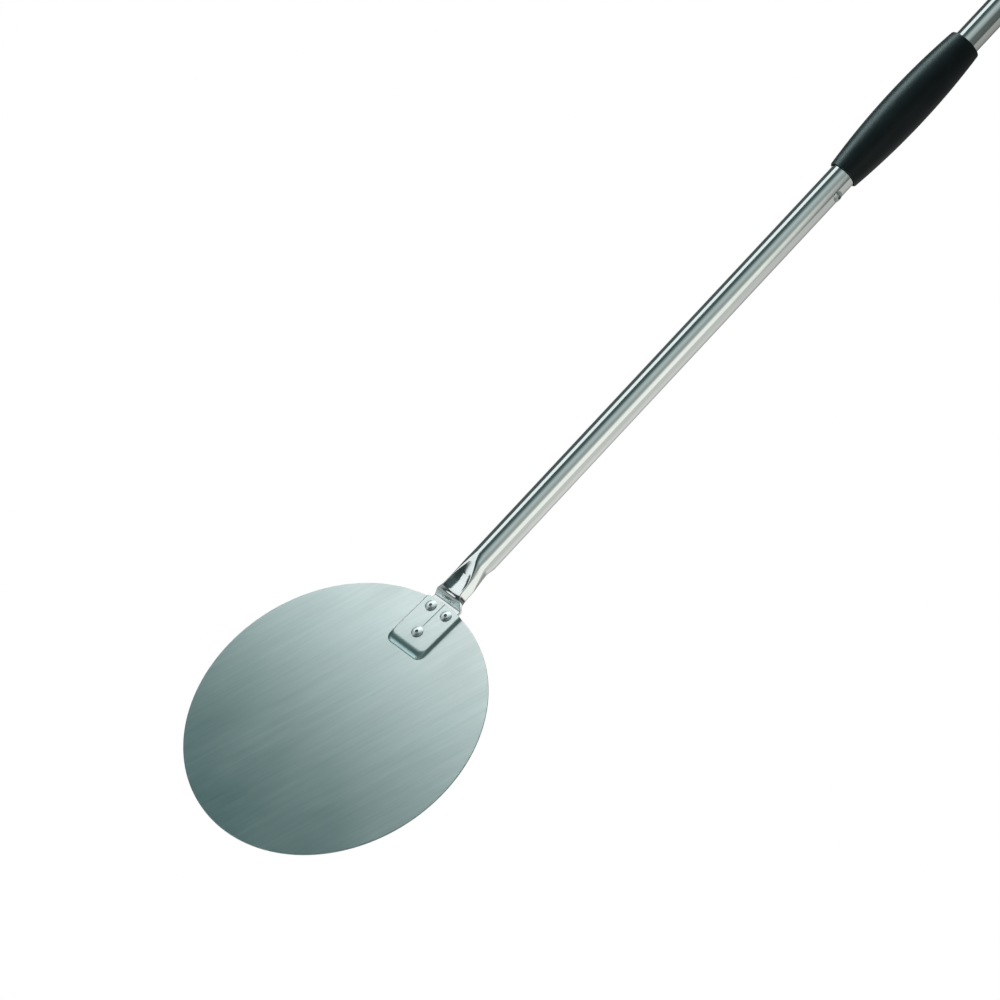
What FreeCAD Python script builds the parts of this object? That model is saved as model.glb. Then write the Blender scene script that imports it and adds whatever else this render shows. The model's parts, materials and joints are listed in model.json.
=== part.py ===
"""Turning peel for a pizza oven: a round steel blade riveted to a long tube with two grips.

Row frame, in millimetres: the origin is the centre of the blade's underside, +Z is up
out of the blade's top face, and the handle runs towards +X, rising at HANDLE_PITCH.
"""
import FreeCAD
import Part
import math
import os

Vector = FreeCAD.Vector

# Blade: one round sheet with a raised pocket that is open at the edge facing the handle.
BLADE_R = 100.0
SHEET = 1.0
POCKET_RISE = 2.2          # height of the pocket's roof above the sheet round it
POCKET_FRONT = 60.0        # x of the foot of the pocket's front
POCKET_FOOT_HALF = 16.9    # half the pocket's width at its foot
POCKET_CORNER_R = 6.0      # corner radius at the foot
POCKET_SLOPE = math.radians(52)
POCKET_FOOT_R = 0.8        # radius of the hollow where the walls leave the sheet
POCKET_EDGE_R = 1.0        # radius of the edge between side wall and roof
POCKET_ROLL_R = 9.5        # radius of the long roll from the front up to the roof
POCKET_DRAW = 0.2          # how much the inside of the pocket is drawn in from its outside
CREASE_X = (79.5, BLADE_R)
CREASE_WIDTH = 0.5
CREASE_DEPTH = 0.3

# Handle tube: round, pressed flat at the blade end into a tongue that fills the pocket.
TUBE_R = 9.0
TUBE_WALL = 0.8
HANDLE_PITCH = math.radians(4.0)
AXIS_HEIGHT_AT_EDGE = 5.25  # height of the tube's axis where it crosses the blade's edge
TUBE_END = 1170.0          # distances of this kind run along the axis from the blade's edge
TONGUE_START = 67.0
TONGUE_WIDTH = 25.0
TONGUE_THICK = 2 * TUBE_WALL + 0.1
TONGUE_PLAY = 0.02         # above and below the tongue, where the rivets clamp it
FOLD_X = 102.6             # where the tongue folds up into the neck
# The neck at each stage between fold and round tube: x, top z, underside z and width.
NECK = [
    (107.0, 7.2, 0.6, 22.0),
    (113.0, 10.4, 1.0, 22.2),
    (122.0, 13.4, 1.0, 20.2),
    (131.0, 16.3, 0.8, 17.9),
]
ROUND_FROM = 37.2          # where the tube is fully round
OVAL_SOFTNESS = 0.03       # how softly a flattened section's flats run into its round ends
OVAL_POINTS = 32

# Blind rivets: a domed flange with the end of the pulled mandrel left in its bore.
RIVET_R = 2.0
RIVET_HOLE_R = 2.05
RIVET_HEAD_R = 3.9
RIVET_HEAD_RISE = 1.2
RIVET_RIM = 0.35           # thickness of the flange at its rim
RIVET_BORE_R = 1.15
RIVET_TAIL_R = 2.9
MANDREL_R = 1.13
MANDREL_SUNK = 0.45        # how far the broken mandrel sits below the dome
BLADE_RIVETS = {
    "front": (74.8, 0.0),
    "rear_left": (93.9, 7.1),
    "rear_right": (93.9, -7.1),
}
BLADE_RIVET_TAIL = 0.4
SIDE_RIVET_TAIL = 1.6
STOP_RIVET_AT = 365.5
STOP_HEAD_RISE = 1.9
STOP_HEAD_SUNK = 0.55      # how far the flange is pulled down over the round of the tube

# Grips: two barrels of one shape.
GRIP_LENGTH = 119.5
GRIP_FRONT_R = 10.65
GRIP_MIDDLE_R = 14.3
GRIP_REAR_R = 11.4
GRIP_EDGE = 0.6
SLIDING_GRIP_START = 380.0
SLIDING_BORE_R = 9.3
BUSH_R = 9.7
BUSH_BORE_R = 9.08
BUSH_LENGTH = 12.0
BUSH_SUNK = 2.0            # from the grip's end face to the bush
BUSH_PLAY = 0.04           # clearance all round, so that the grip turns on its bushes
SNAP_AT = 6.0              # middle of the bush's snap ring, from the bush's outer end
SNAP_RISE = 0.3
SNAP_WIDTH = 1.6
END_GRIP_START = TUBE_END - GRIP_LENGTH
END_GRIP_BORE_R = 9.02
END_RIVET_AT = END_GRIP_START + 85.0
END_RIVET_SEAT = 11.3      # distance of the rivet's seat from the axis
END_RIVET_RECESS_R = 4.3

# Hanging cap: a plug in the end of the tube with a collar and a flat eye.
PLUG_R = TUBE_R - TUBE_WALL - 0.03
PLUG_LENGTH = 18.0
COLLAR_R = 11.2
COLLAR_LENGTH = 4.0
EYE_AT = 1189.0
EYE_OUTER_R = 11.0
EYE_HOLE_R = 5.5
EYE_THICK = 7.0
EYE_ROUND = 1.5
EYE_CHAMFER = 0.5

AXIS = Vector(math.cos(HANDLE_PITCH), 0, math.sin(HANDLE_PITCH))
UP = Vector(-math.sin(HANDLE_PITCH), 0, math.cos(HANDLE_PITCH))
RIGHT = Vector(0, -1, 0)


def on_axis(distance):
    """The point of the handle's axis that lies this far from the blade's edge."""
    return Vector(BLADE_R, 0, AXIS_HEIGHT_AT_EDGE) + AXIS * distance


def rod(radius, start, end):
    """A cylinder along the handle's axis, between two distances from the blade's edge."""
    return Part.makeCylinder(radius, end - start, on_axis(start), AXIS)


def turned(profile, base, direction):
    """Turns a closed profile of (along, radius) points around a line."""
    points = [Vector(radius, 0, along) for along, radius in profile]
    face = Part.Face(Part.makePolygon(points + points[:1]))
    shape = face.revolve(Vector(0, 0, 0), Vector(0, 0, 1), 360)
    shape.Placement = FreeCAD.Placement(base, FreeCAD.Rotation(Vector(0, 0, 1), direction))
    return shape


def wall_inset(height, slope, edge_r):
    """How far in from its foot a pocket wall is at this height.

    The wall leaves the sheet in a hollow, climbs at its slope and rolls over into the roof
    at the radius edge_r.
    """
    foot_top = POCKET_FOOT_R * (1 - math.cos(slope))
    edge_low = POCKET_RISE - edge_r * (1 - math.cos(slope))
    if height <= foot_top:
        return POCKET_FOOT_R * math.sin(math.acos(1 - height / POCKET_FOOT_R))
    climb = (min(height, edge_low) - foot_top) / math.tan(slope)
    inset = POCKET_FOOT_R * math.sin(slope) + climb
    if height > edge_low:
        left = math.acos(max(-1, 1 - (POCKET_RISE - height) / edge_r))
        inset += edge_r * (math.sin(slope) - math.sin(left))
    return inset


def rounded_slab(front, half_width, corner, z):
    """A rectangle from x = front to past the blade's edge, with its front corners round."""
    x_end = BLADE_R + 10
    near, far = Vector(front + corner, -half_width, z), Vector(front + corner, half_width, z)
    low, high = Vector(front, corner - half_width, z), Vector(front, half_width - corner, z)
    bend = corner * (1 - math.sqrt(0.5))
    edges = [
        Part.LineSegment(Vector(x_end, -half_width, z), near).toShape(),
        Part.Arc(near, Vector(front + bend, bend - half_width, z), low).toShape(),
        Part.LineSegment(low, high).toShape(),
        Part.Arc(high, Vector(front + bend, half_width - bend, z), far).toShape(),
        Part.LineSegment(far, Vector(x_end, half_width, z)).toShape(),
        Part.LineSegment(Vector(x_end, half_width, z), Vector(x_end, -half_width, z)).toShape(),
    ]
    return Part.Wire(edges)


def pocket_form(z, draw):
    """The solid under one skin of the pocket, from its foot at z up to its roof.

    draw moves every wall of the form inwards. The roll at the front is one long arc.
    """
    steps = 4
    turns = [POCKET_SLOPE * i / steps for i in range(steps + 1)]
    foot = [POCKET_FOOT_R * (1 - math.cos(turn)) for turn in turns]
    edge = [POCKET_RISE - POCKET_EDGE_R * (1 - math.cos(turn)) for turn in reversed(turns)]
    wall = [foot[-1] + (edge[0] - foot[-1]) * i / steps for i in range(1, steps)]
    front_slope = math.acos(1 - POCKET_RISE / (POCKET_FOOT_R + POCKET_ROLL_R))
    wires = []
    for height in foot + wall + edge:
        side = draw + wall_inset(height, POCKET_SLOPE, POCKET_EDGE_R)
        front = draw + wall_inset(height, front_slope, POCKET_ROLL_R)
        wires.append(rounded_slab(
            POCKET_FRONT + front, POCKET_FOOT_HALF - side, POCKET_CORNER_R - side, z + height))
    return Part.makeLoft(wires, True, False)


def blade():
    """The disc with its pocket, the crease along the pocket's roof and the rivet holes."""
    disc = Part.makeCylinder(BLADE_R, SHEET)
    reach = Part.makeCylinder(BLADE_R, 2 * POCKET_RISE + SHEET)
    sheet = disc.fuse(pocket_form(SHEET, 0).common(reach))
    roof = SHEET + POCKET_RISE
    crease = Part.Face(Part.makePolygon([
        Vector(CREASE_X[0], -CREASE_WIDTH / 2, roof),
        Vector(CREASE_X[0], 0, roof - CREASE_DEPTH),
        Vector(CREASE_X[0], CREASE_WIDTH / 2, roof),
        Vector(CREASE_X[0], -CREASE_WIDTH / 2, roof),
    ])).extrude(Vector(CREASE_X[1] - CREASE_X[0], 0, 0))
    holes = [Part.makeCylinder(RIVET_HOLE_R, 2 * roof, Vector(x, y, 0))
             for x, y in BLADE_RIVETS.values()]
    return sheet.cut([pocket_form(0, POCKET_DRAW), crease] + holes)


def oval(half_width, half_thick):
    """Points round a flat-sided oval, from its top through one side to its bottom and back.

    They are spaced half by angle and half by length, so that a curve through them lies flat
    along the flats. When both halves are equal the oval is a circle.
    """
    def at(turn):
        s = math.sin(turn)
        side = (half_width - half_thick) * math.sqrt((1 + OVAL_SOFTNESS) / (s * s + OVAL_SOFTNESS))
        return side * s + half_thick * s, half_thick * math.cos(turn)
    fine, wanted = 360, OVAL_POINTS // 4
    track = [at(math.pi / 2 * i / fine) for i in range(fine + 1)]
    run = [0]
    for a, b in zip(track, track[1:]):
        run.append(run[-1] + math.dist(a, b))
    share = [(run[i] / run[-1] + i / fine) / 2 for i in range(fine)]
    quarter = [track[sum(s < k / wanted for s in share)] for k in range(wanted + 1)]
    half = quarter + [(y, -z) for y, z in quarter[-2::-1]]
    return half + [(-y, z) for y, z in half[-2:0:-1]]


def section(centre, tilt, half_width, half_thick):
    """A flat-sided oval across the tube, made of two curves that meet at its top and bottom.

    tilt is the angle that the section's plane leans with the handle.
    """
    up = Vector(-math.sin(tilt), 0, math.cos(tilt))
    points = [centre + Vector(0, y, 0) + up * z for y, z in oval(half_width, half_thick)]
    curve = Part.BSplineCurve()
    curve.interpolate(points, PeriodicFlag=True)
    top, end = curve.FirstParameter, curve.LastParameter
    bottom = (top + end) / 2
    return Part.Wire([curve.toShape(top, bottom), curve.toShape(bottom, end)])


def smooth_stages(stages, steps):
    """The stages with steps - 1 more between each two, on smooth curves through them all."""
    result = []
    for i in range(len(stages) - 1):
        before, after = stages[max(i - 1, 0)], stages[min(i + 2, len(stages) - 1)]
        for k in range(steps):
            t = k / steps
            weights = (-t + 2 * t ** 2 - t ** 3, 2 - 5 * t ** 2 + 3 * t ** 3,
                       t + 4 * t ** 2 - 3 * t ** 3, t ** 3 - t ** 2)
            near = (before, stages[i], stages[i + 1], after)
            result.append([sum(w * stage[j] for w, stage in zip(weights, near)) / 2
                           for j in range(len(stages[i]))])
    return result


def tube_skin(wall, overrun):
    """The solid inside the tube's outer skin (wall 0), or inside its bore (wall > 0).

    It runs past both ends of the tube by overrun.
    """
    top = POCKET_RISE - TONGUE_PLAY
    low = top - TONGUE_THICK
    start = on_axis(ROUND_FROM)
    stages = [(TONGUE_START - overrun, top, low, TONGUE_WIDTH)]
    stages += smooth_stages([(FOLD_X, top, low, TONGUE_WIDTH)] + NECK + [
        (start.x, start.z + TUBE_R, start.z - TUBE_R, 2 * TUBE_R)], 4)
    wires = []
    for x, high, low, width in stages:
        tilt = HANDLE_PITCH * max(0, x - FOLD_X) / (start.x - FOLD_X)
        wires.append(section(
            Vector(x, 0, (high + low) / 2), tilt, width / 2 - wall, (high - low) / 2 - wall))
    radius = TUBE_R - wall
    wires += [section(on_axis(at), HANDLE_PITCH, radius, radius)
              for at in (ROUND_FROM, TUBE_END + overrun)]
    return Part.makeLoft(wires, True, True)


def side_hole(at, radius):
    """A drill from the tube's axis out through its right-hand side."""
    return Part.makeCylinder(radius, 2 * TUBE_R, on_axis(at), RIGHT)


def handle_tube():
    """The tube with its tongue and its holes for the blade, stop and end-grip rivets."""
    tube = tube_skin(0, 0).cut(tube_skin(TUBE_WALL, 1))
    holes = [Part.makeCylinder(RIVET_HOLE_R, 2 * POCKET_RISE, Vector(x, y, -POCKET_RISE / 2))
             for x, y in BLADE_RIVETS.values()]
    holes += [side_hole(at, RIVET_HOLE_R) for at in (STOP_RIVET_AT, END_RIVET_AT)]
    return tube.cut(holes)


def rivet(seat, direction, grip, tail, rise=RIVET_HEAD_RISE):
    """A set blind rivet: its flange sits at seat, and direction points out of the dome.

    grip is the thickness it clamps, tail the height of its crushed end and rise its dome's.
    """
    steps = 8
    dome = []
    for i in range(steps + 1):
        r = RIVET_HEAD_R + (RIVET_BORE_R - RIVET_HEAD_R) * i / steps
        dome.append((RIVET_RIM + (rise - RIVET_RIM) * (1 - (r / RIVET_HEAD_R) ** 2), r))
    low = -grip - tail
    bevel = 0.2
    profile = [(0, RIVET_HEAD_R)] + dome + [
        (low, RIVET_BORE_R), (low, RIVET_TAIL_R - bevel), (low + bevel, RIVET_TAIL_R),
        (-grip, RIVET_TAIL_R), (-grip, RIVET_R), (0, RIVET_R),
    ]
    return turned(profile, seat, direction)


def mandrel(seat, direction, grip, tail, rise=RIVET_HEAD_RISE):
    """The broken end of the mandrel, held in the rivet's bore."""
    top = rise - MANDREL_SUNK
    low = -grip - tail
    nick = 0.15
    profile = [(low, 0), (low, MANDREL_R), (top - nick, MANDREL_R), (top, MANDREL_R - nick),
               (top, 0)]
    return turned(profile, seat, direction)


def blade_rivets():
    """The three rivets that clamp the tongue under the pocket's roof, with their mandrels."""
    parts = {}
    for name, (x, y) in BLADE_RIVETS.items():
        grip = SHEET + TONGUE_PLAY + TONGUE_THICK + TONGUE_PLAY
        call = (Vector(x, y, SHEET + POCKET_RISE), Vector(0, 0, 1), grip, BLADE_RIVET_TAIL)
        parts["blade_rivet_" + name] = rivet(*call)
        parts["blade_rivet_mandrel_" + name] = mandrel(*call)
    return parts


def side_rivet(name, at, seat_distance, rise):
    """A rivet and its mandrel through the tube's right-hand wall, tail inside the tube."""
    inside = math.sqrt((TUBE_R - TUBE_WALL) ** 2 - RIVET_TAIL_R ** 2)
    call = (on_axis(at) + RIGHT * seat_distance, RIGHT, seat_distance - inside,
            SIDE_RIVET_TAIL, rise)
    return {name: rivet(*call), name + "_mandrel": mandrel(*call)}


def stop_rivet():
    """The rivet that stops the sliding grip, with its flange pulled down round the tube."""
    parts = side_rivet("stop_rivet", STOP_RIVET_AT, TUBE_R - STOP_HEAD_SUNK, STOP_HEAD_RISE)
    length = 2 * RIVET_HEAD_R
    wall = rod(TUBE_R + 0.01, STOP_RIVET_AT - length, STOP_RIVET_AT + length).cut([
        rod(TUBE_R - TUBE_WALL, STOP_RIVET_AT - length, STOP_RIVET_AT + length),
        side_hole(STOP_RIVET_AT, RIVET_R + 0.01),
    ])
    parts["stop_rivet"] = parts["stop_rivet"].cut(wall)
    return parts


def end_grip_rivet():
    """The rivet, sunk in a recess, that fixes the end grip to the tube."""
    return side_rivet("end_grip_rivet", END_RIVET_AT, END_RIVET_SEAT, RIVET_HEAD_RISE)


def barrel(start):
    """The outside of a grip: one long arc through its two ends and its middle."""
    def at(along, radius):
        return on_axis(start + along) + UP * radius
    front, rear = at(0, GRIP_FRONT_R), at(GRIP_LENGTH, GRIP_REAR_R)
    edges = [
        Part.Arc(front, at(GRIP_LENGTH / 2, GRIP_MIDDLE_R), rear).toShape(),
        Part.LineSegment(rear, at(GRIP_LENGTH, 0)).toShape(),
        Part.LineSegment(at(GRIP_LENGTH, 0), at(0, 0)).toShape(),
        Part.LineSegment(at(0, 0), front).toShape(),
    ]
    solid = Part.Face(Part.Wire(edges)).revolve(on_axis(start), AXIS, 360)
    ends = [e for e in solid.Edges if e.Closed and e.Length > 2 * math.pi * TUBE_R]
    return solid.makeFillet(GRIP_EDGE, ends)


def ring_groove(radius, bush_start):
    """The space that a bush's snap ring fills, out to this radius."""
    middle = bush_start + SNAP_AT
    return rod(radius, middle - SNAP_WIDTH / 2, middle + SNAP_WIDTH / 2)


def bush_starts():
    """Where the two bushes begin, front and rear."""
    end = SLIDING_GRIP_START + GRIP_LENGTH
    return SLIDING_GRIP_START + BUSH_SUNK, end - BUSH_SUNK - BUSH_LENGTH


def sliding_grip():
    """The barrel that slides and turns on the tube, with a seat for a bush at each end."""
    start, end = SLIDING_GRIP_START, SLIDING_GRIP_START + GRIP_LENGTH
    seat = BUSH_SUNK + BUSH_LENGTH + BUSH_PLAY
    cuts = [
        rod(SLIDING_BORE_R, start - 1, end + 1),
        rod(BUSH_R + BUSH_PLAY, start - 1, start + seat),
        rod(BUSH_R + BUSH_PLAY, end - seat, end + 1),
    ]
    cuts += [ring_groove(BUSH_R + SNAP_RISE + BUSH_PLAY, at).fuse(
        ring_groove(BUSH_R + SNAP_RISE + BUSH_PLAY, at + side * BUSH_PLAY))
        for at in bush_starts() for side in (-1, 1)]
    return barrel(start).cut(cuts)


def slide_bush(start):
    """A plain bush with the snap ring that holds it in one end of the sliding grip."""
    end = start + BUSH_LENGTH
    body = rod(BUSH_R, start, end).fuse(ring_groove(BUSH_R + SNAP_RISE, start))
    return body.cut(rod(BUSH_BORE_R, start - 1, end + 1))


def end_grip():
    """The fixed barrel at the far end, with the recess for its rivet."""
    end = END_GRIP_START + GRIP_LENGTH
    recess = Part.makeCylinder(
        END_RIVET_RECESS_R, 2 * TUBE_R, on_axis(END_RIVET_AT) + RIGHT * END_RIVET_SEAT, RIGHT)
    return barrel(END_GRIP_START).cut([
        rod(END_GRIP_BORE_R, END_GRIP_START - 1, end + 1),
        recess,
        side_hole(END_RIVET_AT, RIVET_HOLE_R),
    ])


def hanging_cap():
    """The plug, collar and eye that close the tube and hang the peel up."""
    collar_end = TUBE_END + COLLAR_LENGTH
    collar = rod(COLLAR_R, TUBE_END, collar_end)
    outer_rim = [e for e in collar.Edges if e.Closed
                 and (e.CenterOfMass - on_axis(collar_end)).Length < 1e-3]
    collar = collar.makeFillet(EYE_ROUND, outer_rim)
    centre = on_axis(EYE_AT)
    ring = Part.makeCylinder(EYE_OUTER_R, EYE_THICK, centre - UP * (EYE_THICK / 2), UP)
    web_length = EYE_AT - TUBE_END - COLLAR_LENGTH / 2
    web = Part.makeBox(web_length, 2 * EYE_OUTER_R, EYE_THICK)
    web.Placement = FreeCAD.Placement(
        on_axis(EYE_AT - web_length) - UP * (EYE_THICK / 2) - Vector(0, EYE_OUTER_R, 0),
        FreeCAD.Rotation(Vector(0, 1, 0), -math.degrees(HANDLE_PITCH)))
    tab = ring.fuse(web).removeSplitter()
    rims = [e for e in tab.Edges
            if abs(abs((e.CenterOfMass - centre).dot(UP)) - EYE_THICK / 2) < 1e-3
            and (e.CenterOfMass - centre).dot(AXIS) > 1 - web_length]
    tab = tab.makeFillet(EYE_ROUND, rims)
    mouth = EYE_THICK / 2 - EYE_CHAMFER
    hole = turned(
        [(-EYE_THICK, 0), (-EYE_THICK, EYE_HOLE_R + EYE_THICK - mouth), (-mouth, EYE_HOLE_R),
         (mouth, EYE_HOLE_R), (EYE_THICK, EYE_HOLE_R + EYE_THICK - mouth), (EYE_THICK, 0)],
        centre, UP)
    plug = rod(PLUG_R, TUBE_END - PLUG_LENGTH, TUBE_END + 1)
    return collar.fuse([plug, tab]).removeSplitter().cut(hole)


def all_parts():
    """Every node's shape by name."""
    front_bush, rear_bush = bush_starts()
    return {
        "blade": blade(),
        "handle_tube": handle_tube(),
        **blade_rivets(),
        **stop_rivet(),
        "sliding_grip": sliding_grip(),
        "slide_bush_front": slide_bush(front_bush),
        "slide_bush_rear": slide_bush(rear_bush),
        "end_grip": end_grip(),
        **end_grip_rivet(),
        "hanging_cap": hanging_cap(),
    }


os.makedirs("parts", exist_ok=True)
for node, shape in all_parts().items():
    if not shape.isValid():
        raise ValueError(node + " is not a valid shape")
    shape.exportStep("parts/" + node + ".step")
    print(node, len(shape.Solids), round(shape.Volume, 1))
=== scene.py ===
import json
import math

import bpy
import numpy as np
from mathutils import Matrix, Vector


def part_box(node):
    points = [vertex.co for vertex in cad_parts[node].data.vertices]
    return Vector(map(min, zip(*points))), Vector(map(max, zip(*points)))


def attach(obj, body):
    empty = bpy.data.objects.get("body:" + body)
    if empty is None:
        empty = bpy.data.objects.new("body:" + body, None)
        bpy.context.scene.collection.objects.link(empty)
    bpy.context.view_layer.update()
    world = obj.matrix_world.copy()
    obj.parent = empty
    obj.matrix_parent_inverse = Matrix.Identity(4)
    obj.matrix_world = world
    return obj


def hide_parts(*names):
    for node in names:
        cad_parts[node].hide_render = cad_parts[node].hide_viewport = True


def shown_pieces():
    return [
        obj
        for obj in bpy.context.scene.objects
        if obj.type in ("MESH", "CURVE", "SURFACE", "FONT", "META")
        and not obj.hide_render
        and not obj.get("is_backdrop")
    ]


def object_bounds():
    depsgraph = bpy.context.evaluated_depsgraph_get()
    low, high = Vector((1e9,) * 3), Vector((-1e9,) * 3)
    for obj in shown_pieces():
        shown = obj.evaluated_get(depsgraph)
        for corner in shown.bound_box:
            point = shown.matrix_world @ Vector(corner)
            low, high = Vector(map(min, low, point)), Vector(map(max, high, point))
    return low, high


# A turning peel: the blade, the tube and the grips are rebuilt here as fine meshes in the
# places of their CAD nodes, and the rivets, bushes and cap are the CAD nodes themselves.
# Shapes are worked out in millimetres and become metres in build().
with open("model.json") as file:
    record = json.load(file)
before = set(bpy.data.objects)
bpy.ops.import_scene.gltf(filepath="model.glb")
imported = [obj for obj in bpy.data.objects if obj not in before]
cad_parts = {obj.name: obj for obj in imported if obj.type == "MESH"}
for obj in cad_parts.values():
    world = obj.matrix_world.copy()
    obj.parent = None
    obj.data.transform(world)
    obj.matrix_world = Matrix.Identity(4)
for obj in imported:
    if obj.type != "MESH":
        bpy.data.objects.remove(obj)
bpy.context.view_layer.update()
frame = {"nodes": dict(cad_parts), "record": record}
MM = 0.001

# Blade and pocket, as on the CAD part.
SHEET = 1.0
RIM_R = 0.3
POCKET_FRONT = 60.0
POCKET_FOOT_HALF = 16.9
POCKET_CORNER_R = 6.0
POCKET_SLOPE = math.radians(52)
POCKET_FOOT_R = 0.8
POCKET_EDGE_R = 1.0
POCKET_ROLL_R = 9.5
POCKET_DRAW = 0.2
CREASE_START = 79.5
CREASE_WIDTH = 0.5
CREASE_DEPTH = 0.3

# Tube and neck.
TUBE_R = 9.0
TUBE_WALL = 0.8
TONGUE_THICK = 1.7
TONGUE_PLAY = 0.02
TONGUE_WIDTH = 25.0
FOLD_X = 102.6
NECK = [                   # x, top z, underside z, width, radius of the corners
    (104.2, 7.3, 3.8, 24.2, 0.9),
    (108.6, 10.1, 0.8, 22.2, 1.0),
    (116.6, 11.0, 1.0, 21.8, 1.0),
    (122.0, 13.1, 1.0, 20.2, 2.9),
    (131.0, 16.3, 0.8, 17.9, 6.3),
]
NECK_BEND = 1.2            # how far the bends between the neck's flats are rounded to each side
NECK_DISH = [              # x, depth of the dish in the neck's top
    (103.0, 0.0), (107.0, 0.9), (121.0, 1.6), (137.0, 0.0)]
ROUND_FROM = 37.2          # where the tube is fully round, from the blade's edge
SHOULDER_LEAN = math.radians(54)
RIVET_HOLE_R = 2.05
DRILL_REACH = 8.0

# Grips.
GRIP_FRONT_R = 10.65
GRIP_MIDDLE_R = 14.3
GRIP_REAR_R = 11.4
GRIP_EDGE = 0.6
SLIDING_BORE_R = 9.3
SEAT_R = 9.74
SEAT_DEPTH = 14.04
SNAP_GROOVE_R = 10.04
SNAP_GROOVE = (7.16, 8.84)
END_GRIP_BORE_R = 9.02
RECESS_R = 4.3
RECESS_FLOOR = 11.3        # from the axis to the floor of the end grip's rivet recess
SEAM_HEIGHT = 0.05
SEAM_TOP = 0.12            # half the seam's width at its top
SEAM_FOOT = 0.32           # half the seam's width at its foot

SHARP_ANGLE = math.radians(35)    # edges that turn more than this are shaded as sharp

# How finely the meshes are divided. BLADE_TURNS (degrees from the handle) and BLADE_RINGS (mm
# from the middle) are rows of (up to, step).
BLADE_TURNS = [(0.18, 0.09), (7.5, 0.75), (17.4, 0.16), (24, 1), (180, 2.5)]
BLADE_RINGS = [(54, 6), (59.6, 1.2), (68.2, 0.26)]
OUTER_STEP = 1.1           # from the last row of BLADE_RINGS out to the rim
RIM_GAP = 0.1              # between the last two rings before the rim's rounding
RIM_RINGS = 4              # in each half of the rim
DRILL_SIDES = 48
HALVINGS = 30              # steps in finding the height of the pocket
TUBE_POINTS = 160          # round each of the tube's rings
CORNER_POINTS = 60         # round each corner of a crushed section, before they are spaced out
TONGUE_STEP = 6
NECK_STEP = 0.5
BEND_SAMPLES = 7           # places that a bend of the neck is averaged over
TUBE_STEP = 40
BARREL_STEP = 2.4
BARREL_TURN = 3.0          # degrees between points round a grip
SEAM_TURNS = np.radians([-1.6, -0.8, -0.4, 0.4, 0.8, 1.6])    # more points beside a seam
EDGE_RINGS = 6             # in the rounding of a grip's end

BRUSH_ANGLE = math.radians(-20)
BLADE_RIVETS = ["blade_rivet_front", "blade_rivet_rear_left", "blade_rivet_rear_right"]

# The camera's direction from the blade, its roll, and in metres its distance, how far it is moved
# sideways and up in its own plane, and a last nudge along X, Y and Z.
AZIMUTH = math.radians(-22.327)
ELEVATION = math.radians(50.472)
ROLL = math.radians(26.884)
CAMERA_DISTANCE = 3.114
CAMERA_ASIDE = 0.103135
CAMERA_RAISED = 0.134748
CAMERA_NUDGE = Vector((0, 0.0004, 0.0005))
LENS = 180
SENSOR_WIDTH = 36


def joint(name):
    """The record's joint of this name."""
    return next(j for j in frame["record"]["behaviour"]["joints"] if j["name"] == name)


AXIS = Vector(joint("grip_slide")["axis"]).normalized()
PITCH = math.atan2(AXIS.z, AXIS.x)
UP = Vector((-math.sin(PITCH), 0, math.cos(PITCH)))
RIGHT = Vector((0, -1, 0))
BLADE_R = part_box("blade")[1].x / MM
POCKET_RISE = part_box("blade")[1].z / MM - SHEET
EDGE_POINT = Vector(joint("grip_turn")["pos_m"]) / MM
EDGE_POINT = EDGE_POINT + AXIS * (BLADE_R - EDGE_POINT.x) / AXIS.x


def on_axis(distance):
    """The point of the handle's axis that lies this far from the blade's edge."""
    return EDGE_POINT + AXIS * distance


def reach(node):
    """Where a CAD node starts and ends along the handle's axis, from the blade's edge."""
    along = [(v.co / MM - EDGE_POINT).dot(AXIS) for v in frame["nodes"][node].data.vertices]
    return min(along), max(along)


def middle(node):
    """The middle of a CAD node's box."""
    low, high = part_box(node)
    return (low + high) / 2 / MM


# Mesh building

def spaced(start, *runs):
    """Values from start on, each run of (end, step) divided into equal steps of about its size."""
    values = [start]
    for end, step in runs:
        count = max(1, round((end - values[-1]) / step))
        values += list(np.linspace(values[-1], end, count + 1)[1:])
    return np.array(values)


def ring_faces(rings, around, wrap):
    """Quads between rings of `around` points each; wrap joins the last ring to the first."""
    faces = []
    for i in range(rings if wrap else rings - 1):
        a, b = i * around, (i + 1) % rings * around
        for k in range(around):
            n = (k + 1) % around
            faces.append((a + k, a + n, b + n, b + k))
    return faces


def build(name, points, faces):
    """A mesh object in the scene, from points in millimetres and faces."""
    mesh = bpy.data.meshes.new(name)
    mesh.from_pydata([tuple(p) for p in np.array(points, float) * MM], [], faces)
    obj = bpy.data.objects.new(name, mesh)
    bpy.context.scene.collection.objects.link(obj)
    return obj


def drill(obj, holes):
    """Cuts straight round holes, each (start, direction, length, radius), through a mesh.

    Holes that overlap need a call each, or the cut leaves a plug where they do.
    """
    points, faces, around = [], [], DRILL_SIDES
    for start, direction, length, radius in holes:
        side = direction.orthogonal().normalized()
        other = direction.cross(side)
        first = len(points)
        for end in (start, start + direction * length):
            for k in range(around):
                turn = 2 * math.pi * k / around
                points.append(end + (side * math.cos(turn) + other * math.sin(turn)) * radius)
        faces += [tuple(first + i for i in face) for face in ring_faces(2, around, False)]
        faces.append(tuple(first + k for k in reversed(range(around))))
        faces.append(tuple(first + around + k for k in range(around)))
    cutter = build(obj.name + "_drill", points, faces)
    cut = obj.modifiers.new("holes", "BOOLEAN")
    cut.object = cutter
    cut.solver = "MANIFOLD"
    bpy.context.view_layer.update()
    cleaned = bpy.data.meshes.new_from_object(
        obj.evaluated_get(bpy.context.evaluated_depsgraph_get()))
    obj.modifiers.clear()
    obj.data = cleaned
    bpy.data.objects.remove(cutter)


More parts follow.
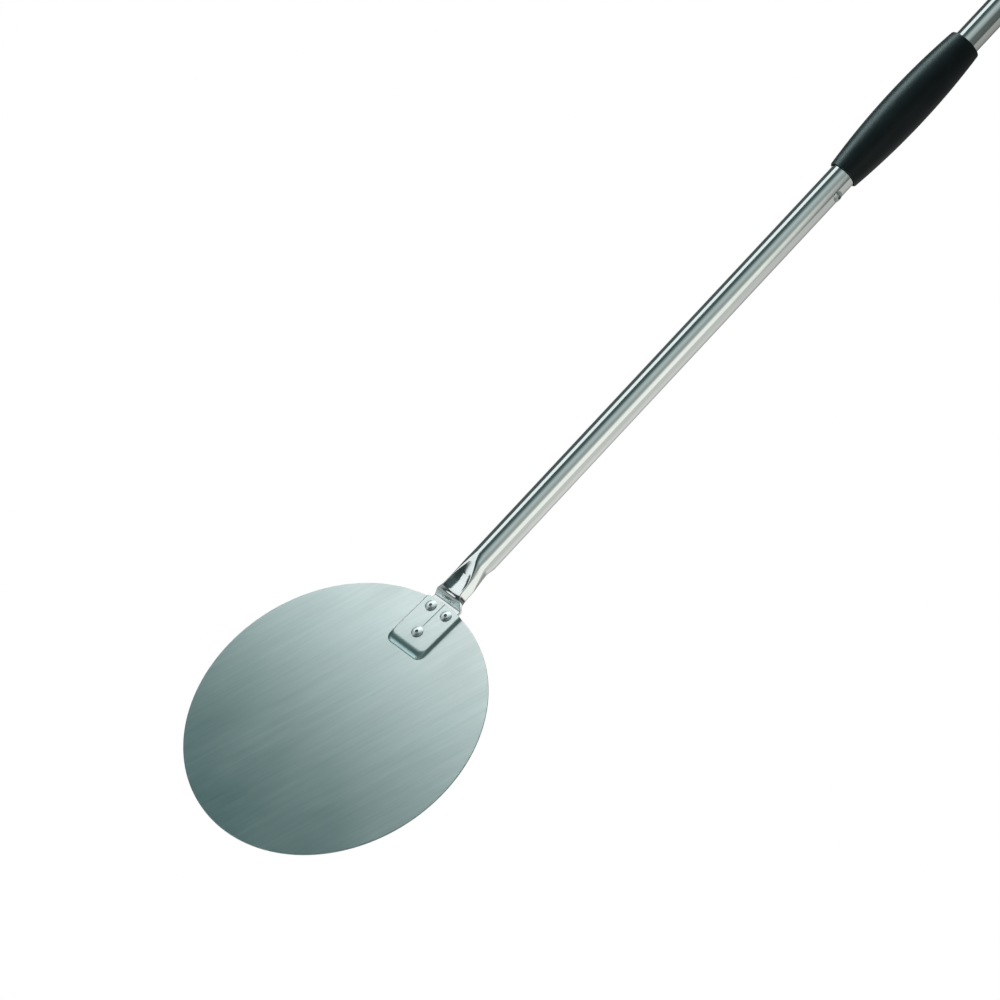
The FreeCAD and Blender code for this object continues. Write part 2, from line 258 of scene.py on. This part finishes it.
def place(obj, node, body, material):
    """Puts a finished mesh in its CAD node's place."""
    mesh = obj.data
    mesh.polygons.foreach_set("use_smooth", [True] * len(mesh.polygons))
    mesh.set_sharp_from_angle(angle=SHARP_ANGLE)
    mesh.materials.clear()
    mesh.materials.append(material)
    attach(obj, body)
    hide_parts(node)


def rivet_holes():
    """The three upright holes of the blade rivets, well through every sheet."""
    return [(middle(node) - Vector((0, 0, DRILL_REACH / 2)), Vector((0, 0, 1)), DRILL_REACH,
             RIVET_HOLE_R) for node in BLADE_RIVETS]


# Blade

def wall_inset(height, slope, edge_r):
    """How far in from its foot a pocket wall is at each height: hollow, slope, rolled edge."""
    foot_top = POCKET_FOOT_R * (1 - math.cos(slope))
    edge_low = POCKET_RISE - edge_r * (1 - math.cos(slope))
    hollow = POCKET_FOOT_R * np.sin(np.arccos(1 - np.minimum(height, foot_top) / POCKET_FOOT_R))
    climb = np.clip(height - foot_top, 0, edge_low - foot_top) / math.tan(slope)
    left = np.arccos(1 - (POCKET_RISE - np.maximum(height, edge_low)) / edge_r)
    return hollow + climb + edge_r * (math.sin(slope) - np.sin(left))


def pocket_height(x, y, draw):
    """The height of one skin of the pocket above its foot, by halving towards each point."""
    front_slope = math.acos(1 - POCKET_RISE / (POCKET_FOOT_R + POCKET_ROLL_R))
    low, high = np.zeros_like(x), np.full_like(x, POCKET_RISE)

    def outside(height):
        side = draw + wall_inset(height, POCKET_SLOPE, POCKET_EDGE_R)
        front = POCKET_FRONT + draw + wall_inset(height, front_slope, POCKET_ROLL_R)
        corner = POCKET_CORNER_R - side
        ahead = front + corner - x
        aside = np.abs(y) - (POCKET_FOOT_HALF - side - corner)
        near = np.hypot(np.maximum(ahead, 0), np.maximum(aside, 0))
        return near + np.minimum(np.maximum(ahead, aside), 0) - corner > 0

    flat = outside(low)
    roof = ~outside(high)
    for _ in range(HALVINGS):
        half = (low + high) / 2
        too_high = outside(half)
        high = np.where(too_high, half, high)
        low = np.where(too_high, low, half)
    return np.where(flat, 0, np.where(roof, POCKET_RISE, low))


def blade_skin(r, turn, top):
    """Points of the sheet's top or underside at one radius."""
    x, y = r * np.cos(turn), r * np.sin(turn)
    if not top:
        return np.stack([x, y, pocket_height(x, y, POCKET_DRAW)], axis=1)
    z = SHEET + pocket_height(x, y, 0)
    crease = np.clip(1 - np.abs(y) / (CREASE_WIDTH / 2), 0, 1) * np.clip(x - CREASE_START, 0, 1)
    return np.stack([x, y, z - CREASE_DEPTH * crease], axis=1)


def half_blade(turn, top):
    """Rings of the top or the underside, from near the middle out round the rim's rounding."""
    flat_r = BLADE_R - RIM_R
    inner = spaced(0, *BLADE_RINGS, (flat_r - RIM_GAP, OUTER_STEP))[1:]
    rings = [blade_skin(r, turn, top) for r in np.append(inner, flat_r)]
    for a in np.radians(np.linspace(0, 90, RIM_RINGS + 1)[1:]):
        drop = RIM_R * (1 - math.cos(a)) * (1 if top else -1)
        rings.append(blade_skin(flat_r + RIM_R * math.sin(a), turn, top) - [0, 0, drop])
    return rings


def blade():
    """The disc as rings from the middle of its top, over the rim, to the middle below."""
    half = spaced(0, *BLADE_TURNS)
    turn = np.radians(np.concatenate([half, -half[-2:0:-1]]))
    rings = half_blade(turn, True) + half_blade(turn, False)[::-1]
    around, count = len(turn), len(rings)
    points = [p for ring in rings for p in ring] + [(0, 0, SHEET), (0, 0, 0)]
    faces = [face[::-1] for face in ring_faces(count, around, False)]
    top, bottom = count * around, count * around + 1
    faces += [(top, k, (k + 1) % around) for k in range(around)]
    last = (count - 1) * around
    faces += [(bottom, last + (k + 1) % around, last + k) for k in range(around)]
    obj = build("blade_sheet", points, faces)
    drill(obj, rivet_holes())
    brush_map(obj)
    return obj


def brush_map(obj):
    """A UV map whose u runs across the brush lines, for the metal's tangent."""
    across = Vector((-math.sin(BRUSH_ANGLE), math.cos(BRUSH_ANGLE), 0))
    along = Vector((math.cos(BRUSH_ANGLE), math.sin(BRUSH_ANGLE), 0))
    layer = obj.data.uv_layers.new(name="brush")
    for loop in obj.data.loops:
        co = obj.data.vertices[loop.vertex_index].co
        layer.data[loop.index].uv = (co.dot(across), co.dot(along))


# Tube

def crushed(half_width, half_thick, corner_r):
    """Points round a crushed tube: flat top and bottom, two leaning shoulders on each side.

    Six corners of the same radius; where that radius is half the thickness it is a round tube
    or a flat strip. The points are spaced half by length and half by how much they turn.
    """
    side = half_width - corner_r
    flat = side - (half_thick - corner_r) / math.tan(SHOULDER_LEAN)
    lean, half_turn = SHOULDER_LEAN, math.pi
    corners = [(flat, 1, 0, lean), (side, 0, lean, half_turn - lean),
               (flat, -1, half_turn - lean, half_turn)]
    corners += [(-y, up, 2 * half_turn - end, 2 * half_turn - start)
                for y, up, start, end in corners[::-1]]
    turn = np.concatenate([np.linspace(start, end, CORNER_POINTS)
                           for _, _, start, end in corners])
    y = np.repeat([corner[0] for corner in corners], CORNER_POINTS) + corner_r * np.sin(turn)
    z = np.repeat([corner[1] for corner in corners], CORNER_POINTS) * (half_thick - corner_r)
    z = z + corner_r * np.cos(turn)
    y, z, turn = np.append(y, y[0]), np.append(z, z[0]), np.append(turn, 2 * math.pi)
    run = np.concatenate([[0], np.cumsum(np.hypot(np.diff(y), np.diff(z)))])
    share = (run / run[-1] + turn / turn[-1]) / 2
    wanted = np.arange(TUBE_POINTS) / TUBE_POINTS
    return np.interp(wanted, share, y), np.interp(wanted, share, z)


def section(x, centre_z, tilt, half_width, half_thick, corner_r):
    """A section across the tube, dished on top in the neck, its plane leaning by tilt."""
    aside, height = crushed(half_width, half_thick, corner_r)
    depth = np.interp(x, *np.array(NECK_DISH).T)
    flat = half_width - (half_thick - corner_r) / math.tan(SHOULDER_LEAN)
    height = height - depth * np.clip(1 - (aside / flat) ** 2, 0, 1) * (height > 0)
    return np.stack([x - math.sin(tilt) * height, aside, centre_z + math.cos(tilt) * height],
                    axis=1)


def tongue_stage():
    """The tongue's top z, underside z, width and corner radius: a row of NECK after its x."""
    top = POCKET_RISE - TONGUE_PLAY
    return top, top - TONGUE_THICK, TONGUE_WIDTH, TONGUE_THICK / 2


def neck_stages():
    """Sections like the rows of NECK, close together, with the bends rounded off.

    They start a bend's reach before the fold, where the tongue is still flat.
    """
    start = on_axis(ROUND_FROM)
    round_end = (start.z + TUBE_R, start.z - TUBE_R, 2 * TUBE_R, TUBE_R)
    table = np.array([(FOLD_X, *tongue_stage()), *NECK, (start.x, *round_end)])
    stages = []
    for x in spaced(FOLD_X - NECK_BEND, (start.x, NECK_STEP))[:-1]:
        nearby = min(NECK_BEND, start.x - x)
        places = x + np.linspace(-nearby, nearby, BEND_SAMPLES)
        stage = [np.interp(places, table[:, 0], column).mean() for column in table.T[1:]]
        stages.append([x] + stage)
    return stages


def tube_rings(wall):
    """Rings of the tube's outside (wall 0) or of its bore, from the tongue to the far end."""
    first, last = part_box("handle_tube")[0].x / MM, reach("handle_tube")[1]
    tongue = [(x, *tongue_stage()) for x in spaced(first, (FOLD_X - NECK_BEND, TONGUE_STEP))[:-1]]
    round_x = on_axis(ROUND_FROM).x
    rings = []
    for x, high, low, width, corner_r in tongue + neck_stages():
        tilt = PITCH * max(0, x - FOLD_X) / (round_x - FOLD_X)
        rings.append(section(x, (high + low) / 2, tilt, width / 2 - wall,
                             (high - low) / 2 - wall, corner_r - wall))
    for distance in spaced(ROUND_FROM, (last, TUBE_STEP)):
        centre = on_axis(distance)
        rings.append(section(centre.x, centre.z, PITCH, *[TUBE_R - wall] * 3))
    return rings


def handle_tube():
    """The tube with its tongue, neck, bore and side holes."""
    rings = tube_rings(0) + tube_rings(TUBE_WALL)[::-1]
    around = len(rings[0])
    faces = [face[::-1] for face in ring_faces(len(rings), around, True)]
    obj = build("tube", [p for ring in rings for p in ring], faces)
    holes = rivet_holes()
    for node in ("stop_rivet", "end_grip_rivet"):
        at = sum(reach(node)) / 2
        holes.append((on_axis(at), RIGHT, 2 * TUBE_R, RIVET_HOLE_R))
    drill(obj, holes)
    return obj


# Grips

def barrel_radius(along, length):
    """The barrel's radius: one arc through its two end radii and its middle radius."""
    front, crest, rear = (Vector((0, GRIP_FRONT_R)), Vector((length / 2, GRIP_MIDDLE_R)),
                          Vector((length, GRIP_REAR_R)))
    divisor = 2 * (front.x * (crest.y - rear.y) + crest.x * (rear.y - front.y)
                   + rear.x * (front.y - crest.y))
    centre_x = (front.dot(front) * (crest.y - rear.y) + crest.dot(crest) * (rear.y - front.y)
                + rear.dot(rear) * (front.y - crest.y)) / divisor
    centre_y = (front.dot(front) * (rear.x - crest.x) + crest.dot(crest) * (front.x - rear.x)
                + rear.dot(rear) * (crest.x - front.x)) / divisor
    arc_r = (front - Vector((centre_x, centre_y))).length
    return centre_y + np.sqrt(arc_r ** 2 - (along - centre_x) ** 2)


def barrel_profile(length, bore):
    """The grip's outline as (distance, radius): outside with rounded ends, then the bore."""
    quarter = np.radians(np.linspace(0, 90, EDGE_RINGS))
    outline = [(GRIP_EDGE * (1 - math.cos(a)),
                barrel_radius(GRIP_EDGE, length) - GRIP_EDGE * (1 - math.sin(a)))
               for a in quarter]
    between_ends = spaced(GRIP_EDGE, (length - GRIP_EDGE, BARREL_STEP))[1:-1]
    outline += [(s, barrel_radius(s, length)) for s in between_ends]
    outline += [(length - GRIP_EDGE * (1 - math.cos(a)),
                 barrel_radius(length - GRIP_EDGE, length) - GRIP_EDGE * (1 - math.sin(a)))
                for a in quarter[::-1]]
    return outline + bore


def seated_bore(length):
    """The sliding grip's bore, from its rear end to its front, with seats for the bushes."""
    near, far = SNAP_GROOVE
    seat = [(0, SEAT_R), (near, SEAT_R), (near, SNAP_GROOVE_R), (far, SNAP_GROOVE_R),
            (far, SEAT_R), (SEAT_DEPTH, SEAT_R), (SEAT_DEPTH, SLIDING_BORE_R)]
    return [(length - s, r) for s, r in seat] + seat[::-1]


def barrel(name, node, bore):
    """A grip turned round the handle's axis, with the two fine seams of its mould."""
    start, end = reach(node)
    profile = barrel_profile(end - start, bore(end - start))
    outside = len(profile) - len(bore(end - start))
    even = np.radians(np.arange(0, 360, BARREL_TURN))
    turns = np.concatenate([even, SEAM_TURNS, SEAM_TURNS + math.pi]) % (2 * math.pi)
    turns = np.unique(np.round(turns, 6))
    to_seam = np.abs(np.sin(turns)) * GRIP_MIDDLE_R
    ridge = SEAM_HEIGHT * np.clip((SEAM_FOOT - to_seam) / (SEAM_FOOT - SEAM_TOP), 0, 1)
    points = []
    for i, (along, radius) in enumerate(profile):
        centre = on_axis(start + along)
        for turn, extra in zip(turns, ridge):
            r = radius + (extra if i < outside else 0)
            points.append(centre + (RIGHT * math.cos(turn) + UP * math.sin(turn)) * r)
    faces = [face[::-1] for face in ring_faces(len(profile), len(turns), True)]
    return build(name, points, faces)


def end_grip():
    """The fixed grip, with the recess and hole for its rivet."""
    obj = barrel("end_handle", "end_grip", lambda length: [
        (length, END_GRIP_BORE_R), (0, END_GRIP_BORE_R)])
    at = on_axis(sum(reach("end_grip_rivet")) / 2)
    drill(obj, [(at + RIGHT * RECESS_FLOOR, RIGHT, DRILL_REACH, RECESS_R)])
    drill(obj, [(at, RIGHT, 2 * TUBE_R, RIVET_HOLE_R)])
    return obj


# Materials

# A Mix node's two colour inputs and its colour output.
FIRST_COLOUR = 6
SECOND_COLOUR = 7
MIXED_COLOUR = 2


def fill(tree, node, inputs):
    """Sets a node's inputs, each from a value or from another node's socket."""
    for key, value in inputs.items():
        if isinstance(value, bpy.types.NodeSocket):
            tree.links.new(value, node.inputs[key])
        else:
            node.inputs[key].default_value = value


def add(tree, kind, inputs=None, **settings):
    """A new shader node with its settings and its inputs."""
    node = tree.nodes.new("ShaderNode" + kind)
    for key, value in settings.items():
        setattr(node, key, value)
    fill(tree, node, inputs or {})
    return node


def new_material(name):
    """An empty material: (material, node tree, its principled shader)."""
    material = bpy.data.materials.new(name)
    material.use_nodes = True
    tree = material.node_tree
    return material, tree, tree.nodes["Principled BSDF"]


def grain(tree, size, rotation=(0, 0, 0), detail=3.0):
    """Noise from 0 to 1 whose grains measure size (x, y, z) in metres, after a rotation."""
    position = add(tree, "TexCoord").outputs["Object"]
    scaled = add(tree, "Mapping", {"Vector": position, "Rotation": rotation, "Scale": size},
                 vector_type="TEXTURE").outputs[0]
    return add(tree, "TexNoise", {"Vector": scaled, "Scale": 1.0, "Detail": detail}).outputs[0]


def between(tree, value, low, high, start=0.3, end=0.7):
    """Maps value from start..end to low..high."""
    return add(tree, "MapRange", {0: value, 1: start, 2: end, 3: low, 4: high}).outputs[0]


def mixed(tree, share, first, second, **settings):
    """Two colours or colour sockets mixed, with this share of the second."""
    inputs = {0: share, FIRST_COLOUR: first, SECOND_COLOUR: second}
    return add(tree, "Mix", inputs, data_type="RGBA", **settings).outputs[MIXED_COLOUR]


def tinted(tree, value, dark, light):
    """A colour between dark and light, by value."""
    return mixed(tree, value, (*dark, 1), (*light, 1))


def bumped(tree, height, distance, strength):
    """A normal from a height of 0 to 1 over this distance in metres."""
    return add(tree, "Bump", {"Height": height, "Distance": distance,
                              "Strength": strength}).outputs[0]


def brushed_steel():
    """The blade: straight brush lines over broader bands and a soft unevenness."""
    material, tree, shader = new_material("brushed_steel")
    turn = (0, 0, BRUSH_ANGLE)
    lines = grain(tree, (0.022, 0.00045, 0.00045), turn, detail=4.0)
    bands = grain(tree, (0.05, 0.0022, 0.0022), turn, detail=2.0)
    patches = grain(tree, (0.06, 0.03, 0.03), turn, detail=2.0)
    both = add(tree, "Math", {0: lines, 1: bands}, operation="ADD").outputs[0]
    both = add(tree, "Math", {0: both, 1: 0.5}, operation="MULTIPLY").outputs[0]
    tangent = add(tree, "Tangent", direction_type="UV_MAP", uv_map="brush").outputs[0]
    rough = add(tree, "Math", {0: between(tree, lines, -0.04, 0.04),
                               1: between(tree, patches, 0.32, 0.38)}, operation="ADD").outputs[0]
    fill(tree, shader, {
        "Base Color": tinted(tree, between(tree, both, 0, 1), (0.42, 0.55, 0.55),
                             (0.52, 0.65, 0.65)),
        "Metallic": 1.0,
        "Roughness": rough,
        "Anisotropic": 0.6,
        "Tangent": tangent,
        "Normal": bumped(tree, both, distance=0.00002, strength=0.5),
    })
    return material


def polished_steel():
    """The tube: near-mirror steel with faint draw lines and smudges."""
    material, tree, shader = new_material("polished_steel")
    turn = (0, -PITCH, 0)
    lines = grain(tree, (0.15, 0.0006, 0.0006), turn)
    smudges = grain(tree, (0.03, 0.008, 0.008), turn)
    fill(tree, shader, {
        "Base Color": tinted(tree, between(tree, lines, 0, 1), (0.80, 0.84, 0.84),
                             (0.88, 0.90, 0.90)),
        "Metallic": 1.0,
        "Roughness": between(tree, smudges, 0.08, 0.14),
        "Normal": bumped(tree, lines, distance=0.000004, strength=0.5),
    })
    return material


def satin_steel(name, dark, light, smoothest, roughest):
    """Rivets and mandrels: small turned and pulled steel parts."""
    material, tree, shader = new_material(name)
    specks = grain(tree, (0.0005, 0.0005, 0.0005))
    fill(tree, shader, {
        "Base Color": tinted(tree, between(tree, specks, 0, 1), dark, light),
        "Metallic": 1.0,
        "Roughness": between(tree, specks, smoothest, roughest),
        "Normal": bumped(tree, specks, distance=0.00003, strength=0.4),
    })
    return material


def moulded_plastic(name, dark, light, smoothest, roughest, depth):
    """Black moulded plastic: a fine grain, and a sheen that varies from handling."""
    material, tree, shader = new_material(name)
    fine = grain(tree, (0.0007, 0.0007, 0.0007), detail=2.0)
    worn = grain(tree, (0.02, 0.01, 0.01), (0, -PITCH, 0))
    fill(tree, shader, {
        "Base Color": tinted(tree, between(tree, worn, 0, 1), dark, light),
        "Roughness": between(tree, worn, smoothest, roughest),
        "Normal": bumped(tree, fine, distance=depth, strength=0.6),
        "Specular IOR Level": 0.22,
    })
    return material


def finish_nodes():
    """Gives every CAD node its material. The ones that are replaced later are hidden."""
    rivet = satin_steel("rivet_steel", (0.42, 0.46, 0.46), (0.54, 0.58, 0.57),
                        smoothest=0.26, roughest=0.36)
    mandrel = satin_steel("mandrel_steel", (0.10, 0.11, 0.12), (0.22, 0.24, 0.24),
                          smoothest=0.35, roughest=0.6)
    cap = moulded_plastic("cap_plastic", (0.010, 0.014, 0.015), (0.020, 0.026, 0.027),
                          smoothest=0.3, roughest=0.45, depth=0.00001)
    bush = moulded_plastic("bush_plastic", (0.05, 0.055, 0.055), (0.08, 0.085, 0.085),
                           smoothest=0.35, roughest=0.5, depth=0.00001)
    for name, node in frame["nodes"].items():
        if "mandrel" in name:
            material = mandrel
        elif "rivet" in name:
            material = rivet
        elif "bush" in name:
            material = bush
        else:
            material = cap
        node.data.materials.clear()
        node.data.materials.append(material)


# Studio

# The room's colour by direction: degrees from straight up, turned towards the viewer's side (-Y).
STUDIO_BANDS = [
    (-180, (0.45, 0.45, 0.44)), (-160, (0.12, 0.13, 0.13)), (-118, (0.08, 0.10, 0.10)),
    (-104, (0.05, 0.07, 0.07)), (-76, (0.07, 0.09, 0.09)), (-11, (0.05, 0.08, 0.08)),
    (8, (0.35, 0.42, 0.41)), (15, (0.42, 0.50, 0.49)), (36, (0.30, 0.35, 0.34)),
    (50, (0.10, 0.12, 0.11)), (96, (0.10, 0.12, 0.11)), (104, (0.50, 0.50, 0.47)),
    (150, (0.66, 0.66, 0.63)), (180, (0.45, 0.45, 0.44)),
]
# How much of it is left towards the blade's end (-1) and the grip's end (1) of the room, and how
# far the room's plain grey end walls take over there.
STUDIO_ENDS = [(-1.0, 0.5), (-0.5, 0.5), (-0.1, 0.7), (0.1, 1.0), (0.28, 1.0), (0.4, 0.25),
               (1.0, 0.25)]
STUDIO_WALLS = [(-1.0, 1), (-0.68, 0.8), (-0.55, 0), (0.5, 0), (0.64, 1), (1.0, 1)]
WALL_GREY = (0.34, 0.37, 0.37)
ROOM_STRENGTH = 1.1
FLOOR_HALF = 30.0          # metres

# Long panels beside the handle: from and to (degrees as above), first and last x in metres,
# colour, brightness. The near one is made of four, each narrower, so that its edges are soft.
# Panels in one plane hide each other, so each of a list stands farther off than the one before.
FAR_PANELS = [(-60, -32, -0.9, 5, (0.96, 1, 1), 0.9), (-165, -112, -4, 5, (1, 1, 1), 0.65)]
NEAR_PANELS = [(42, 104, -4, 1.05, (1, 1, 0.97), 0.16), (49, 100, -4, 1.05, (1, 1, 0.94), 0.18),
               (55, 93, -4, 1.05, (1, 1, 0.93), 0.24), (60, 87, -4, 1.05, (1, 1, 0.93), 0.27)]
GRIP_PANELS = [(-66, -44, -4, 5, (0.75, 1, 1), 9.0)]
PANEL_DISTANCE = 2.0
PANEL_STEP = 0.1           # as a share of PANEL_DISTANCE

# Panels that the blade mirrors towards the camera: name, slope of the steel that mirrors it,
# then distance, size and offset in metres, colour, brightness. KEY_TURN is the turn of their
# widths from the handle's direction.
KEY_TURN = math.radians(12)
POCKET_FRONT_SHINE = math.radians(32)
BLADE_PANELS = [
    ("blade_key", 0, 0.7, (0.8, 0.8), 0.4, (0.78, 0.9, 0.89), 1.65),
    ("blade_warm", 0, 0.65, (0.8, 0.8), 0.445, (1, 0.25, 0.23), 0.75),
    ("pocket_front", POCKET_FRONT_SHINE, 0.7, (0.2, 0.3), 0, (0.9, 1, 1), 2.0),
    ("blade_fill", 0, 0.9, (1.6, 1.6), 0, (0.15, 1, 1), 0.05),
]


def ramp(tree, value, stops):
    """A colour ramp over 0 to 1 with these (place, colour) stops."""
    node = add(tree, "ValToRGB", {0: value})
    elements = node.color_ramp.elements
    while len(elements) > 1:
        elements.remove(elements[-1])
    for i, (at, colour) in enumerate(stops):
        element = elements[0] if i == 0 else elements.new(at)
        element.position = at
        element.color = (*colour, 1)
    return node.outputs[0]


def studio_world():
    """A room with soft bands of light round the x direction. The camera itself sees white."""
    world = bpy.data.worlds.new("studio")
    bpy.context.scene.world = world
    world.use_nodes = True
    tree = world.node_tree
    way = add(tree, "SeparateXYZ", {0: add(tree, "TexCoord").outputs["Generated"]}).outputs
    toward = add(tree, "Math", {0: way[1], 1: -1.0}, operation="MULTIPLY").outputs[0]
    angle = add(tree, "Math", {0: toward, 1: way[2]}, operation="ARCTAN2").outputs[0]
    turned = between(tree, angle, 0, 1, -math.pi, math.pi)
    bands = ramp(tree, turned, [((a + 180) / 360, c) for a, c in STUDIO_BANDS])
    along = between(tree, way[0], 0, 1, -1, 1)
    ends = ramp(tree, along, [((x + 1) / 2, (v, v, v)) for x, v in STUDIO_ENDS])
    walls = ramp(tree, along, [((x + 1) / 2, (v, v, v)) for x, v in STUDIO_WALLS])
    lit = mixed(tree, 1.0, bands, ends, blend_type="MULTIPLY")
    lit = mixed(tree, walls, lit, (*WALL_GREY, 1))
    seen = add(tree, "LightPath").outputs["Is Camera Ray"]
    colour = mixed(tree, seen, lit, (1, 1, 1, 1))
    fill(tree, tree.nodes["Background"], {"Color": colour, "Strength": ROOM_STRENGTH})


def floor(height):
    """A plain white floor under the peel, seen by the camera from above only."""
    half = FLOOR_HALF / MM
    obj = build("floor", [(-half, -half, 0), (half, -half, 0), (half, half, 0), (-half, half, 0)],
                [(0, 1, 2, 3)])
    obj.location.z = height
    material = bpy.data.materials.new("floor_white")
    material.use_nodes = True
    tree = material.node_tree
    tree.nodes.clear()
    paint = add(tree, "Emission", {"Color": (1, 1, 1, 1), "Strength": 1.0}).outputs[0]
    clear = add(tree, "BsdfTransparent").outputs[0]
    below = add(tree, "NewGeometry").outputs["Backfacing"]
    shown = add(tree, "MixShader", {0: below, 1: paint, 2: clear}).outputs[0]
    add(tree, "OutputMaterial", {"Surface": shown})
    obj.data.materials.append(material)
    obj.visible_glossy = obj.visible_diffuse = obj.visible_shadow = False
    obj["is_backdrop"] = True


def panel(name, way, across, distance, size, offset, colour, strength, receivers):
    """A soft rectangular light that shines back along way onto a few pieces only.

    It stands at this distance from the origin, moved by offset along its own width,
    which runs as near to `across` as it can. strength is the brightness of its face.
    """
    back = Vector(way).normalized()
    along = (Vector(across) - back * back.dot(Vector(across))).normalized()
    data = bpy.data.lights.new(name, "AREA")
    data.shape = "RECTANGLE"
    data.size, data.size_y = size
    data.energy = math.pi * size[0] * size[1] * strength
    data.color = colour
    obj = bpy.data.objects.new(name, data)
    bpy.context.scene.collection.objects.link(obj)
    matrix = Matrix((along, back.cross(along), back)).transposed().to_4x4()
    matrix.translation = back * distance + along * offset
    obj.matrix_world = matrix
    obj.visible_camera = False
    lit = bpy.data.collections.new(name + "_lit")
    for piece in receivers:
        lit.objects.link(piece)
    obj.light_linking.receiver_collection = lit


def long_panels(name, spans, receivers):
    """Panels along the handle, each spanning two directions round it and two places along x."""
    for i, (start, end, first, last, colour, strength) in enumerate(spans):
        way = math.radians((start + end) / 2)
        distance = PANEL_DISTANCE * (1 + PANEL_STEP * i)
        width = 2 * distance * math.tan(math.radians(end - start) / 2)
        panel(f"{name}_{i}", (0, -math.sin(way), math.cos(way)), (1, 0, 0), distance,
              (last - first, width), (first + last) / 2, colour, strength, receivers)


def studio_panels(sheet, grips):
    """The long panels, which miss the blade, and its own, whose key lights its rivets too."""
    others = [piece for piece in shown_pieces() if piece != sheet]
    long_panels("far_panel", FAR_PANELS, others)
    long_panels("near_panel", NEAR_PANELS, others)
    long_panels("grip_panel", GRIP_PANELS, grips)
    across = (math.cos(KEY_TURN), math.sin(KEY_TURN), 0)
    heads = [node for name, node in frame["nodes"].items() if name in BLADE_RIVETS]
    for name, slope, *setting in BLADE_PANELS:
        receivers = [sheet] + (heads if name == "blade_key" else [])
        panel(name, mirrored_by(slope), across, *setting, receivers)


def camera_back():
    """The direction from the object back to the camera."""
    return Vector((math.sin(AZIMUTH) * math.cos(ELEVATION),
                   -math.cos(AZIMUTH) * math.cos(ELEVATION), math.sin(ELEVATION)))


def mirrored_by(slope):
    """Where a surface of this slope, rising towards the handle, mirrors the camera's view to."""
    back = camera_back()
    normal = Vector((-math.sin(slope), 0, math.cos(slope)))
    return normal * 2 * normal.dot(back) - back


def camera():
    """The camera, with a long lens and a roll that lays the handle across the picture."""
    back = camera_back()
    right = Vector((math.cos(AZIMUTH), math.sin(AZIMUTH), 0))
    up = back.cross(right)
    rolled_right = right * math.cos(ROLL) - up * math.sin(ROLL)
    rolled_up = right * math.sin(ROLL) + up * math.cos(ROLL)
    data = bpy.data.cameras.new("camera")
    data.lens = LENS
    data.sensor_width = SENSOR_WIDTH
    obj = bpy.data.objects.new("camera", data)
    bpy.context.scene.collection.objects.link(obj)
    place_at = back * CAMERA_DISTANCE + rolled_right * CAMERA_ASIDE + rolled_up * CAMERA_RAISED
    matrix = Matrix((rolled_right, rolled_up, back)).transposed().to_4x4()
    matrix.translation = place_at + CAMERA_NUDGE
    obj.matrix_world = matrix
    bpy.context.scene.camera = obj


finish_nodes()
grip_plastic = moulded_plastic("grip_plastic", (0.001, 0.004, 0.005), (0.003, 0.008, 0.009),
                               smoothest=0.36, roughest=0.44, depth=0.00002)
sheet = blade()
place(sheet, "blade", "peel", brushed_steel())
tube = handle_tube()
place(tube, "handle_tube", "peel", polished_steel())
grips = [barrel("middle_handle", "sliding_grip", seated_bore), end_grip()]
place(grips[0], "sliding_grip", "sliding_grip", grip_plastic)
place(grips[1], "end_grip", "peel", grip_plastic)

studio_world()
floor(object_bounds()[0].z)
studio_panels(sheet, grips)
camera()
bpy.context.scene.view_settings.view_transform = "Standard"
